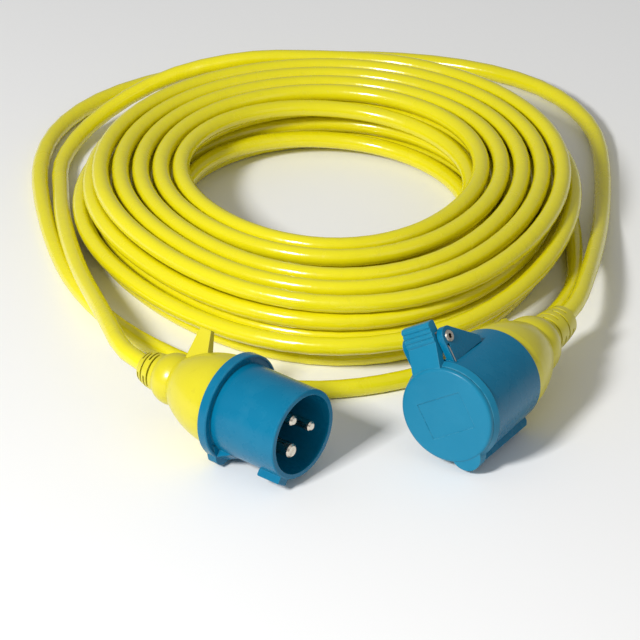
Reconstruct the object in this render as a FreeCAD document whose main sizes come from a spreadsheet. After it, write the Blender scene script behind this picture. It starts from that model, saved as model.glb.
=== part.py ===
import FreeCAD, Part
import math
import os
import Sketcher

V = FreeCAD.Vector
os.makedirs("parts", exist_ok=True)
doc = FreeCAD.newDocument("shore_power_cord")

# Driving sizes in millimetres, angles in degrees.
# Along each fitting x runs back from its mouth or lid face towards the cable, and z points to its fin side.
SIZES = {
    # cable
    "cable_diameter": 8.8,
    "cable_grip": 16.5,
    "core_diameter": 3.0,
    "core_spread": 1.9,
    "core_straight": 9.5,
    # gaps between pieces that are assembled
    "fit_gap": 0.1,
    "running_gap": 0.05,
    "edge_bevel": 0.5,
    "cut_margin": 1.0,
    # contacts, shared by the plug and the connector
    "pin_circle_radius": 9.0,
    "line_pin_radius": 2.5,
    "earth_pin_radius": 3.5,
    "pin_setback": 2.0,
    "pin_bevel": 0.9,
    "shank_step": 0.6,
    "shank_rise": 0.2,
    "barrel_radius": 2.8,
    "barrel_bore": 1.9,
    "barrel_length": 6.5,
    "collar_lip": 0.8,
    "collar_length": 1.5,
    # plug shroud
    "plug_length": 97.0,
    "shroud_bore": 19.4,
    "shroud_wall": 2.6,
    "shroud_reach": 37.0,
    "flange_radius": 26.0,
    "flange_length": 5.2,
    "flange_lip": 1.2,
    "flange_recess": 0.6,
    "spigot_radius": 18.5,
    "spigot_wall": 1.5,
    "spigot_length": 8.5,
    "spigot_step": 1.5,
    "key_width": 6.0,
    "key_height": 3.4,
    "key_length": 12.8,
    "key_setback": 0.8,
    "lug_width": 21.0,
    "lug_tip_width": 5.5,
    "lug_reach": 28.4,
    "lug_ramp": 6.5,
    "lug_bow": 0.6,
    "lug_ramp_width": 9.0,
    # plug contact carrier
    "carrier_disc": 5.0,
    # plug back
    "back_front_radius": 22.4,
    "back_waist_radius": 11.8,
    "back_bow": 2.2,
    "back_collar": 4.0,
    "back_wall": 3.6,
    "back_mouth_wall": 5.8,
    "back_hollow_depth": 10.0,
    "plug_bulb_length": 11.5,
    "plug_bulb_bow": 1.9,
    "plug_neck_radius": 9.3,
    "relief_bow": 0.6,
    "relief_round": 0.8,
    "plug_relief_length": 11.3,
    "plug_relief_end": 6.3,
    "plug_slot_floor": 5.7,
    "plug_slot_width": 1.0,
    "plug_slot_pitch": 2.3,
    "slot_margin": 2.0,
    "slot_angle": 125.0,
    # pull fin
    "fin_base_length": 13.0,
    "fin_tip_length": 6.4,
    "fin_base_width": 5.5,
    "fin_tip_width": 2.8,
    "fin_height": 27.6,
    "fin_setback": 20.3,
    "fin_sink": 1.0,
    # connector housing
    "connector_length": 116.0,
    "shroud_gap": 0.4,
    "housing_wall": 2.2,
    "housing_length": 42.4,
    "housing_taper": 0.8,
    "housing_rear_wall": 1.1,
    "socket_spare": 0.8,
    "channel_gap": 0.4,
    "rib_wall": 1.2,
    "rib_cheek": 1.8,
    "rib_slope": 1.7,
    "boss_setback": 2.0,
    "boss_base_length": 2.5,
    # contact sleeves
    "sleeve_wall": 1.15,
    "sleeve_setback": 3.7,
    "sleeve_depth": 31.0,
    "sleeve_slot": 0.8,
    "sleeve_slot_length": 20.0,
    "sleeve_mouth": 0.3,
    "entry_gap": 0.4,
    "ring_length": 2.8,
    "ring_depth": 0.5,
    "ring_setback": 3.1,
    "ring_angle": 320.0,
    # connector back
    "bell_radius": 22.8,
    "bell_waist_radius": 14.8,
    "bell_bow": 1.4,
    "bell_wall": 3.4,
    "bell_collar": 5.0,
    "bell_mouth_wall": 5.0,
    "bell_hollow_depth": 8.0,
    "bulb_length": 15.3,
    "bulb_bow": 2.2,
    "neck_radius": 10.0,
    "relief_length": 22.2,
    "relief_end": 7.4,
    "slot_floor": 7.0,
    "slot_width": 1.2,
    "slot_pitch": 4.6,
    "bell_fin_height": 19.3,
    "bell_fin_setback": 12.5,
    # lid
    "lid_depth": 6.0,
    "lid_gap": 0.3,
    "lid_plate": 2.0,
    "lid_face_radius": 23.7,
    "lid_skirt_radius": 25.1,
    "lid_skirt_wall": 1.2,
    "lid_round": 1.4,
    "lid_panel_depth": 0.25,
    "lid_panel_width": 25.0,
    "lid_panel_height": 18.0,
    "tab_radius": 8.0,
    "tab_reach": 28.7,
    "arm_width": 16.4,
    "arm_setback": 0.9,
    "arm_overlap": 1.0,
    "arm_clearance": 0.6,
    "arm_foot": 23.0,
    "lever_bottom": 34.2,
    "lever_back": 6.0,
    "lever_height": 9.0,
    "lever_depth": 5.6,
    "lever_ridge": 0.7,
    "lever_lean": 0.3,
    "lever_round": 0.8,
    "gasket_width": 2.5,
    "gasket_round": 0.4,
    # hinge
    "hinge_back": 12.5,
    "hinge_height": 33.0,
    "ear_radius": 5.0,
    "ear_setback": 1.2,
    "ear_tail": 34.0,
    "ear_wall": 3.4,
    "ear_side_gap": 0.4,
    "slot_bottom_drop": 0.4,
    "knuckle_radius": 4.5,
    "knuckle_width": 10.2,
    "rivet_radius": 2.0,
    "rivet_bore": 1.2,
    "rivet_head_radius": 3.0,
    "rivet_head_length": 0.6,
    "rivet_head_round": 0.4,
    "spring_wire": 1.0,
    "spring_radius": 3.2,
    "spring_turns": 3.25,
    "spring_pitch": 1.3,
    "spring_leg": 9.5,
    "spring_hole_drop": 3.0,
    "spring_hole_radius": 1.1,
    "spring_tail": 1.5,
    # where the two fittings lie on the floor
    "fitting_spacing": 66.0,
    "fitting_stagger": 12.6,
    "fitting_middle_x": 6.5,
    "fitting_middle_y": -43.3,
    "plug_yaw": 140.5,
    "plug_roll": 35.0,
    "connector_yaw": 59.2,
    "connector_pitch": 3.2,
    "connector_roll": -31.5,
    # coil, seen from above
    "coil_x": -15.6,
    "coil_y": 205.4,
    "coil_outer_radius": 126.4,
    "coil_turn_pitch": 10.36,
    "coil_layer_gap": 0.5,
    "coil_front_bulge": 33.0,
    "coil_front_drop": 4.9,
    "coil_front_angle": -82.0,
    "coil_looseness": 2.2,
    "floor_gap": 0.1,
}

sheet = doc.addObject("Spreadsheet::Sheet", "sizes")
for row, (alias, number) in enumerate(SIZES.items(), 1):
    sheet.set(f"A{row}", alias)
    sheet.set(f"B{row}", str(number))
    sheet.setAlias(f"B{row}", alias)
doc.recompute()


class Size:
    """A length that knows its value and the sheet expression that gives it."""

    def __init__(self, text, value):
        self.text = text
        self.value = float(value)

    def join(self, sign, other, value):
        return Size(f"({self.text} {sign} {other.text})", value)

    def __add__(self, other):
        other = as_size(other)
        return self.join("+", other, self.value + other.value)

    def __sub__(self, other):
        other = as_size(other)
        return self.join("-", other, self.value - other.value)

    def __mul__(self, other):
        other = as_size(other)
        return self.join("*", other, self.value * other.value)

    def __truediv__(self, other):
        other = as_size(other)
        return self.join("/", other, self.value / other.value)

    def __neg__(self):
        return as_size(0) - self

    __radd__ = __add__
    __rmul__ = __mul__

    def __rsub__(self, other):
        return as_size(other) - self


def as_size(number):
    """Turns a plain number into a Size."""
    if isinstance(number, Size):
        return number
    return Size(f"({number})" if number < 0 else f"{number}", number)


class Sizes:
    """Every cell of the sheet by its name."""


s = Sizes()
for alias, number in SIZES.items():
    setattr(s, alias, Size(f"sizes.{alias}", number))

# Lengths that follow from the driving ones
shroud_radius = s.shroud_bore + s.shroud_wall
flange_rear = s.shroud_reach + s.flange_length
spigot_rear = flange_rear + s.spigot_length
spigot_bore = s.spigot_radius - s.spigot_wall
carrier_front = flange_rear - s.spigot_step - s.carrier_disc
carrier_step = carrier_front + s.carrier_disc
key_reach = shroud_radius + s.key_height
cable_radius = s.cable_diameter / 2
cable_bore = cable_radius + s.fit_gap
plug_neck_x = s.plug_length - s.plug_relief_length
waist_x = plug_neck_x - s.plug_bulb_length
plug_cable_start = s.plug_length - s.cable_grip
housing_front = s.lid_depth + s.lid_gap
housing_bore = shroud_radius + s.shroud_gap
housing_radius = housing_bore + s.housing_wall
housing_rear = housing_front + s.housing_length
housing_rear_radius = housing_radius - s.housing_taper
housing_counterbore = housing_rear_radius - s.housing_rear_wall
socket_floor = housing_front + s.shroud_reach + s.socket_spare
boss_radius = s.shroud_bore - s.shroud_gap
boss_front = housing_front + s.boss_setback
boss_rear = socket_floor + s.fit_gap + s.boss_base_length
sleeve_front = boss_front + s.sleeve_setback
sleeve_floor = sleeve_front + s.sleeve_depth
cover_rear = sleeve_front - s.fit_gap
channel_reach = key_reach + s.channel_gap
rib_reach = channel_reach + s.rib_wall
rib_rear = housing_rear - s.edge_bevel - s.rib_slope
rib_half_width = s.key_width / 2 + s.channel_gap + s.rib_cheek
neck_x = s.connector_length - s.relief_length
bell_rear = neck_x - s.bulb_length
connector_cable_start = s.connector_length - s.cable_grip
lid_bore = s.lid_skirt_radius - s.lid_skirt_wall
ear_inner = s.arm_width / 2 + s.ear_side_gap
ear_outer = ear_inner + s.ear_wall
ear_front = housing_front + s.ear_setback
hole_radius = s.rivet_radius + s.running_gap
arm_rear = s.hinge_back - s.spring_radius - s.spring_wire


def bind(item, path, length):
    """Ties one property to the sheet."""
    item.setExpression(path, as_size(length).text)


def new_body(name):
    """Starts a piece whose label is its file name."""
    body = doc.addObject("PartDesign::Body", name)
    body.Label = name
    return body


def new_sketch(body, name, role, offset=None):
    """Puts a sketch on one of the body's own origin planes, or parallel to it."""
    sketch = body.newObject("Sketcher::SketchObject", f"{body.Name}_{name}_sketch")
    plane = next(item for item in body.Origin.OriginFeatures if item.Role == role)
    sketch.AttachmentSupport = (plane, [""])
    sketch.MapMode = "FlatFace"
    if offset is not None:
        bind(sketch, "AttachmentOffset.Base.z", offset)
    return sketch


def hold(sketch, name, kind, places, length):
    """Adds one dimension and ties it to the sheet."""
    index = sketch.addConstraint(Sketcher.Constraint(kind, *places, length.value))
    sketch.renameConstraint(index, name)
    bind(sketch, f"Constraints.{name}", length)


def hold_point(sketch, name, edge, end, x, y):
    """Fixes one point of the sketch at x, y."""
    for axis, kind, length, on_axis in (("x", "DistanceX", x, -2), ("y", "DistanceY", y, -1)):
        if length.text == "0":
            sketch.addConstraint(Sketcher.Constraint("PointOnObject", edge, end, on_axis))
        else:
            hold(sketch, f"{name}_{axis}", kind, (-1, 1, edge, end), length)


def bowed_side(start, end, bow):
    """An arc from start to end that bows to the left by that much, or to the right where it is negative."""
    chord = end - start
    radius = (chord.Length ** 2 / 4 + bow ** 2) / (2 * abs(bow))
    left = V(-chord.y, chord.x, 0).normalize()
    centre = (start + end) * 0.5 + left * (bow - math.copysign(radius, bow))
    first, last = (end, start) if bow > 0 else (start, end)
    angles = [math.atan2(point.y - centre.y, point.x - centre.x) for point in (first, last)]
    if angles[1] < angles[0]:
        angles[1] += 2 * math.pi
    return Part.ArcOfCircle(Part.Circle(centre, V(0, 0, 1), radius), *angles)


def draw_outline(sketch, corners):
    """Draws a closed outline. A third value bows the side after its corner to the left by that much."""
    points = [(as_size(corner[0]), as_size(corner[1])) for corner in corners]
    bows = [as_size(corner[2]) if len(corner) > 2 else None for corner in corners]
    spots = [V(x.value, y.value, 0) for x, y in points]
    ends = []
    for index, bow in enumerate(bows):
        start = spots[index]
        end = spots[(index + 1) % len(spots)]
        if bow is None:
            sketch.addGeometry(Part.LineSegment(start, end))
        else:
            sketch.addGeometry(bowed_side(start, end, bow.value))
        first = sketch.Geometry[index].StartPoint.distanceToPoint(start)
        last = sketch.Geometry[index].EndPoint.distanceToPoint(start)
        ends.append((1, 2) if first < last else (2, 1))
    for index, (x, y) in enumerate(points):
        after = (index + 1) % len(points)
        sketch.addConstraint(Sketcher.Constraint("Coincident", index, ends[index][1], after, ends[after][0]))
        hold_point(sketch, f"corner_{index}", index, ends[index][0], x, y)
        if bows[index] is not None:
            wide = points[after][0] - x
            high = points[after][1] - y
            bow = bows[index] if bows[index].value > 0 else -bows[index]
            radius = ((wide * wide + high * high) / 4 + bow * bow) / (bow * 2)
            hold(sketch, f"radius_{index}", "Radius", (index,), radius)


def add_feature(body, name, kind, sketch, length, both_ways, cut):
    """Pads or pockets a sketch."""
    feature = body.newObject(kind, f"{body.Name}_{name}")
    feature.Profile = sketch
    feature.Midplane = both_ways
    feature.Reversed = cut and not both_ways
    bind(feature, "Length", length)
    sketch.Visibility = False
    return feature


def prism(body, name, role, corners, length, start=None, cut=False, both_ways=False):
    """Pushes an outline into or out of the piece along the plane's normal."""
    sketch = new_sketch(body, name, role, start)
    draw_outline(sketch, corners)
    kind = "PartDesign::Pocket" if cut else "PartDesign::Pad"
    return add_feature(body, name, kind, sketch, length, both_ways, cut)


def round_prism(body, name, role, centre, radius, length, start=None, cut=False, both_ways=False):
    """Pushes a circle into or out of the piece along the plane's normal."""
    sketch = new_sketch(body, name, role, start)
    x, y = as_size(centre[0]), as_size(centre[1])
    sketch.addGeometry(Part.Circle(V(x.value, y.value, 0), V(0, 0, 1), as_size(radius).value))
    hold_point(sketch, "centre", 0, 3, x, y)
    hold(sketch, "radius", "Radius", (0,), as_size(radius))
    kind = "PartDesign::Pocket" if cut else "PartDesign::Pad"
    return add_feature(body, name, kind, sketch, length, both_ways, cut)


def turn(body, name, corners, cut=False, angle=None, role="XZ_Plane"):
    """Turns an outline of x and radius about the x axis, all the way round or through an angle."""
    sketch = new_sketch(body, name, role)
    draw_outline(sketch, corners)
    kind = "PartDesign::Groove" if cut else "PartDesign::Revolution"
    feature = body.newObject(kind, f"{body.Name}_{name}")
    feature.Profile = sketch
    feature.ReferenceAxis = (sketch, ["H_Axis"])
    if angle is not None:
        bind(feature, "Angle", angle)
        feature.Midplane = True
    return feature


def wedge(body, name, base, tip):
    """Lofts from a base rectangle to a tip rectangle: each is front x, rear x, width and height."""
    sketches = []
    for part, (front, rear, width, height) in (("base", base), ("tip", tip)):
        sketch = new_sketch(body, f"{name}_{part}", "XY_Plane", height)
        half = width / 2
        draw_outline(sketch, [(front, -half), (rear, -half), (rear, half), (front, half)])
        sketches.append(sketch)
    loft = body.newObject("PartDesign::AdditiveLoft", f"{body.Name}_{name}")
    loft.Profile = sketches[0]
    loft.Sections = [sketches[1]]
    loft.Ruled = True
    return loft


SLOT_PAIRS = 4


def relief_slots(body, first, pitch, width, floor, outside, count):
    """Cuts pairs of opposite slots round a strain relief, each pair turned a quarter from the last."""
    for index in range(count):
        front = first + pitch * index
        corners = [(front, floor), (front, outside), (front + width, outside), (front + width, floor)]
        role = "XZ_Plane" if index % 2 else "XY_Plane"
        slot = turn(body, f"slot_{index}", corners, cut=True, angle=s.slot_angle, role=role)
        pair = body.newObject("PartDesign::PolarPattern", f"{body.Name}_slot_pair_{index}")
        pair.Originals = [slot]
        axis = next(item for item in body.Origin.OriginFeatures if item.Role == "X_Axis")
        pair.Axis = (axis, [""])
        pair.Angle = 360
        pair.Occurrences = 2
        body.Tip = pair


# The plug

# The line contacts stand either side of the fin, and the earth contact is opposite it.
# The connector faces the plug, so its line contacts are the other way round.
PLUG_CONTACTS = {"live": 60.0, "neutral": -60.0, "earth": 180.0}
CONNECTOR_CONTACTS = {"live": -60.0, "neutral": 60.0, "earth": 180.0}


def contact_radius(name):
    return s.earth_pin_radius if name == "earth" else s.line_pin_radius


def contact_centre(degrees):
    """Where a contact's axis crosses the carrier, as local y and z."""
    angle = math.radians(degrees)
    return (s.pin_circle_radius * round(-math.sin(angle), 6), s.pin_circle_radius * round(math.cos(angle), 6))


def make_plug_shroud():
    """Shroud tube, flange with a raised lip, rear spigot, key rib and retaining lug."""
    body = new_body("plug_shroud")
    bevel = s.edge_bevel
    recess_floor = s.shroud_reach + s.flange_recess
    lip_inner = s.flange_radius - s.flange_lip
    turn(body, "tube", [
        (0, s.shroud_bore),
        (0, shroud_radius - bevel),
        (bevel, shroud_radius),
        (recess_floor, shroud_radius),
        (recess_floor, lip_inner),
        (s.shroud_reach, lip_inner),
        (s.shroud_reach, s.flange_radius - bevel),
        (s.shroud_reach + bevel, s.flange_radius),
        (flange_rear - bevel, s.flange_radius),
        (flange_rear, s.flange_radius - bevel),
        (flange_rear, s.spigot_radius),
        (spigot_rear, s.spigot_radius),
        (spigot_rear, spigot_bore),
        (carrier_step, spigot_bore),
        (carrier_step, s.shroud_bore),
    ])
    inside_wall = -(s.shroud_bore + s.shroud_wall / 2)
    key_rear = s.key_setback + s.key_length
    prism(body, "key", "XZ_Plane", [
        (s.key_setback, inside_wall),
        (s.key_setback, bevel - key_reach),
        (s.key_setback + bevel, -key_reach),
        (key_rear - bevel, -key_reach),
        (key_rear, bevel - key_reach),
        (key_rear, inside_wall),
    ], s.key_width, both_ways=True)
    wide = s.lug_width / 2
    narrow = s.lug_tip_width / 2
    prism(body, "lug", "YZ_Plane", [
        (-wide, inside_wall),
        (wide, inside_wall),
        (narrow, s.lug_bow - s.lug_reach, s.lug_bow),
        (-narrow, s.lug_bow - s.lug_reach),
    ], s.flange_length, start=s.shroud_reach)
    prism(body, "lug_ramp", "XZ_Plane", [
        (s.shroud_reach - s.lug_ramp, inside_wall),
        (s.shroud_reach - s.lug_ramp, -shroud_radius),
        (s.shroud_reach + bevel, -(lip_inner + bevel)),
        (recess_floor, inside_wall),
    ], s.lug_ramp_width, both_ways=True)
    return body


def make_plug_contact_carrier():
    """Stepped block behind the shroud's floor line with a bore for each pin."""
    body = new_body("plug_contact_carrier")
    turn(body, "block", [
        (carrier_front, 0),
        (carrier_front, s.shroud_bore - s.fit_gap),
        (carrier_step - s.fit_gap, s.shroud_bore - s.fit_gap),
        (carrier_step - s.fit_gap, spigot_bore - s.fit_gap),
        (spigot_rear, spigot_bore - s.fit_gap),
        (spigot_rear, 0),
    ])
    length = spigot_rear - carrier_front + s.cut_margin * 2
    for name, degrees in PLUG_CONTACTS.items():
        radius = contact_radius(name) + s.shank_step + s.running_gap
        round_prism(body, name, "YZ_Plane", contact_centre(degrees), radius, length,
                    start=carrier_front - s.cut_margin, cut=True)
    return body


def make_plug_pin(name):
    """A pin on its own axis, with a thicker shank in the carrier, then a stop collar and a crimp barrel."""
    body = new_body(f"plug_pin_{name}")
    radius = contact_radius(name)
    shank = radius + s.shank_step
    shoulder = carrier_front - s.shank_rise
    collar_front = spigot_rear + s.fit_gap
    collar_rear = collar_front + s.collar_length
    rear = collar_rear + s.barrel_length
    turn(body, "pin", [
        (s.pin_setback, 0),
        (s.pin_setback, radius - s.pin_bevel),
        (s.pin_setback + s.pin_bevel, radius),
        (shoulder, radius),
        (shoulder, shank),
        (collar_front, shank),
        (collar_front, shank + s.collar_lip),
        (collar_rear, shank + s.collar_lip),
        (collar_rear, s.barrel_radius),
        (rear, s.barrel_radius),
        (rear, s.barrel_bore),
        (collar_rear, s.barrel_bore),
        (collar_rear, 0),
    ])
    return body


def make_plug_overmould():
    """Yellow back: a bowed cone, a bulb, a ribbed strain relief and the pull fin, hollow for the cores."""
    body = new_body("plug_overmould")
    front = flange_rear + s.fit_gap
    hollow = s.back_front_radius - s.back_mouth_wall
    round_off = s.relief_round
    turn(body, "back", [
        (front, s.spigot_radius + s.fit_gap),
        (front, s.back_front_radius),
        (front + s.back_collar, s.back_front_radius, s.back_bow),
        (waist_x, s.back_waist_radius, s.plug_bulb_bow),
        (plug_neck_x, s.plug_neck_radius, s.relief_bow),
        (s.plug_length - round_off, s.plug_relief_end + round_off),
        (s.plug_length, s.plug_relief_end),
        (s.plug_length, cable_bore),
        (plug_cable_start, cable_bore),
        (waist_x, s.back_waist_radius - s.back_wall),
        (spigot_rear + s.back_hollow_depth, hollow),
        (spigot_rear + s.fit_gap, hollow),
        (spigot_rear + s.fit_gap, s.spigot_radius + s.fit_gap),
    ])
    fin_front = flange_rear + s.fin_setback
    fin_rear = fin_front + s.fin_base_length
    tip_rear = fin_rear - s.fin_sink
    base = (fin_front, fin_rear, s.fin_base_width, s.back_waist_radius - s.fin_sink)
    tip = (tip_rear - s.fin_tip_length, tip_rear, s.fin_tip_width, s.fin_height)
    wedge(body, "fin", base, tip)
    relief_slots(body, plug_neck_x + s.slot_margin, s.plug_slot_pitch, s.plug_slot_width, s.plug_slot_floor,
                 s.plug_neck_radius + s.cut_margin, SLOT_PAIRS)
    return body


# The connector


def make_connector_housing():
    """Housing with a key channel and its rib below, and two hinge ears above."""
    body = new_body("connector_housing")
    bevel = s.edge_bevel
    turn(body, "barrel", [
        (housing_front, housing_bore),
        (housing_front, housing_radius - bevel),
        (housing_front + bevel, housing_radius),
        (housing_rear - bevel, housing_rear_radius),
        (housing_rear, housing_rear_radius - bevel),
        (housing_rear, housing_counterbore),
        (socket_floor, housing_counterbore),
        (socket_floor, housing_bore),
    ])
    in_wall = -(housing_radius - s.housing_wall / 2)
    prism(body, "rib", "XZ_Plane", [
        (housing_front, in_wall),
        (housing_front, bevel - rib_reach),
        (housing_front + bevel, -rib_reach),
        (rib_rear, -rib_reach),
        (housing_rear - bevel, s.rib_slope - rib_reach),
        (housing_rear - bevel, in_wall),
    ], rib_half_width * 2, both_ways=True)
    half = s.key_width / 2 + s.channel_gap
    socket_start = housing_front - s.cut_margin
    socket_length = socket_floor - socket_start
    prism(body, "channel", "YZ_Plane", [
        (-half, -channel_reach),
        (half, -channel_reach),
        (half, s.key_height - housing_bore),
        (-half, s.key_height - housing_bore),
    ], socket_length, start=socket_start, cut=True)
    diagonal = s.ear_radius * round(math.sqrt(0.5), 6)
    arc_bow = s.ear_radius * round(1 - math.cos(math.radians(67.5)), 6)
    prism(body, "ears", "XZ_Plane", [
        (ear_front, housing_bore - s.cut_margin),
        (ear_front, s.hinge_height, arc_bow),
        (s.hinge_back + diagonal, s.hinge_height + diagonal),
        (s.ear_tail, housing_radius - bevel),
        (s.ear_tail, housing_bore - s.cut_margin),
    ], ear_outer * 2, both_ways=True)
    top = s.hinge_height + s.ear_radius + s.cut_margin
    slot_floor = housing_radius - s.slot_bottom_drop
    prism(body, "ear_slot", "XZ_Plane", [
        (ear_front - s.cut_margin, slot_floor),
        (s.ear_tail + s.cut_margin, slot_floor),
        (s.ear_tail + s.cut_margin, top),
        (ear_front - s.cut_margin, top),
    ], ear_inner * 2, cut=True, both_ways=True)
    round_prism(body, "ear_bore", "YZ_Plane", (0, 0), housing_bore, socket_length, start=socket_start, cut=True)
    centre = (s.hinge_back, s.hinge_height)
    across = (ear_outer + s.cut_margin) * 2
    round_prism(body, "rivet_hole", "XZ_Plane", centre, hole_radius, across, cut=True, both_ways=True)
    leg_x = s.hinge_back - s.spring_radius
    leg_top = s.hinge_height - s.spring_hole_drop
    groove = s.spring_wire / 2 + s.fit_gap
    outside = ear_outer + s.cut_margin
    prism(body, "leg_groove", "XZ_Plane", [
        (leg_x - groove, leg_top - s.spring_leg - groove),
        (leg_x + groove, leg_top - s.spring_leg - groove),
        (leg_x + groove, leg_top + groove),
        (leg_x - groove, leg_top + groove),
    ], s.spring_wire + s.fit_gap + s.cut_margin, start=outside, cut=True).Reversed = False
    hole_centre = (leg_x, leg_top + groove - s.spring_hole_radius)
    hole_length = s.ear_wall + s.cut_margin * 2
    hole = round_prism(body, "leg_hole", "XZ_Plane", hole_centre, s.spring_hole_radius, hole_length,
                       start=outside, cut=True)
    hole.Reversed = False
    return body


def make_connector_contact_cover():
    """Front plate of the boss that the plug's shroud goes round, with an entry hole for each pin."""
    body = new_body("connector_contact_cover")
    turn(body, "plate", [
        (boss_front, 0),
        (boss_front, boss_radius - s.edge_bevel),
        (boss_front + s.edge_bevel, boss_radius),
        (cover_rear, boss_radius),
        (cover_rear, 0),
    ])
    for name, degrees in CONNECTOR_CONTACTS.items():
        entry = contact_radius(name) + s.entry_gap
        round_prism(body, name, "YZ_Plane", contact_centre(degrees), entry, s.sleeve_setback + s.cut_margin,
                    start=boss_front - s.cut_margin, cut=True)
    return body


def make_connector_contact_carrier():
    """The rest of the boss and its base disc, with a bore that seats each sleeve."""
    body = new_body("connector_contact_carrier")
    base_radius = housing_counterbore - s.fit_gap
    base_front = socket_floor + s.fit_gap
    carrier_start = cover_rear + s.fit_gap
    turn(body, "boss", [
        (carrier_start, 0),
        (carrier_start, boss_radius),
        (base_front, boss_radius),
        (base_front, base_radius),
        (boss_rear, base_radius),
        (boss_rear, 0),
    ])
    for name, degrees in CONNECTOR_CONTACTS.items():
        seat = sleeve_outside(name) + s.running_gap
        round_prism(body, name, "YZ_Plane", contact_centre(degrees), seat, boss_rear - boss_front,
                    start=boss_front + s.cut_margin, cut=True)
    return body


def sleeve_outside(name):
    return contact_radius(name) + s.running_gap + s.sleeve_wall


def make_connector_sleeve(name):
    """A slotted contact sleeve on its own axis, with a ring groove, a stop collar and a crimp barrel."""
    body = new_body(f"connector_sleeve_{name}")
    inside = contact_radius(name) + s.running_gap
    outside = sleeve_outside(name)
    ring_front = sleeve_front + s.ring_setback
    ring_rear = ring_front + s.ring_length + s.fit_gap * 2
    collar_front = boss_rear + s.fit_gap
    collar_rear = collar_front + s.collar_length
    rear = collar_rear + s.barrel_length
    turn(body, "sleeve", [
        (sleeve_front, inside + s.sleeve_mouth),
        (sleeve_front, outside),
        (ring_front, outside),
        (ring_front, outside - s.ring_depth),
        (ring_rear, outside - s.ring_depth),
        (ring_rear, outside),
        (collar_front, outside),
        (collar_front, outside + s.collar_lip),
        (collar_rear, outside + s.collar_lip),
        (collar_rear, s.barrel_radius),
        (rear, s.barrel_radius),
        (rear, s.barrel_bore),
        (collar_rear, s.barrel_bore),
        (collar_rear, 0),
        (sleeve_floor, 0),
        (sleeve_floor, inside),
        (sleeve_front + s.sleeve_mouth, inside),
    ])
    half = s.sleeve_slot / 2
    clear = outside + s.cut_margin
    prism(body, "slot", "YZ_Plane", [
        (-half, -clear),
        (half, -clear),
        (half, clear),
        (-half, clear),
    ], s.sleeve_slot_length + s.cut_margin, start=sleeve_front - s.cut_margin, cut=True)
    return body


def make_sleeve_springs():
    """Three open spring rings, one round each sleeve, kept together as one group."""
    rings = []
    ring_front = sleeve_front + s.ring_setback + s.fit_gap
    for name, degrees in CONNECTOR_CONTACTS.items():
        body = new_body(f"ring_{name}")
        outside = sleeve_outside(name)
        inner = outside - s.ring_depth + s.running_gap
        turn(body, "ring", [
            (ring_front, inner),
            (ring_front, outside),
            (ring_front + s.ring_length, outside),
            (ring_front + s.ring_length, inner),
        ], angle=s.ring_angle)
        body.Placement = contact_placement(degrees)
        rings.append(body)
    group = doc.addObject("Part::Compound", "sleeve_springs")
    group.Label = "sleeve_springs"
    group.Links = rings
    return group


def make_connector_overmould():
    """Yellow bell with a bulb, a ribbed strain relief and a low fin, hollow for the cores."""
    body = new_body("connector_overmould")
    spigot = housing_counterbore - s.fit_gap
    spigot_front = boss_rear + s.fit_gap
    collar_front = housing_rear + s.fit_gap
    turn(body, "bell", [
        (spigot_front, spigot - s.bell_wall),
        (spigot_front, spigot),
        (collar_front, spigot),
        (collar_front, s.bell_radius),
        (collar_front + s.bell_collar, s.bell_radius, s.bell_bow),
        (bell_rear, s.bell_waist_radius, s.bulb_bow),
        (neck_x, s.neck_radius, s.relief_bow),
        (s.connector_length - s.relief_round, s.relief_end + s.relief_round),
        (s.connector_length, s.relief_end),
        (s.connector_length, cable_bore),
        (connector_cable_start, cable_bore),
        (bell_rear, s.bell_waist_radius - s.bell_mouth_wall),
        (collar_front + s.bell_hollow_depth, s.bell_radius - s.bell_mouth_wall),
    ])
    fin_front = housing_rear + s.bell_fin_setback
    fin_rear = fin_front + s.fin_base_length
    tip_rear = fin_rear - s.fin_sink
    base = (fin_front, fin_rear, s.fin_base_width, s.bell_waist_radius)
    tip = (tip_rear - s.fin_tip_length, tip_rear, s.fin_tip_width, s.bell_fin_height)
    wedge(body, "fin", base, tip)
    relief_slots(body, neck_x + s.slot_margin, s.slot_pitch, s.slot_width, s.slot_floor,
                 s.neck_radius + s.cut_margin, SLOT_PAIRS)
    return body


# The lid and its hinge


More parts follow.
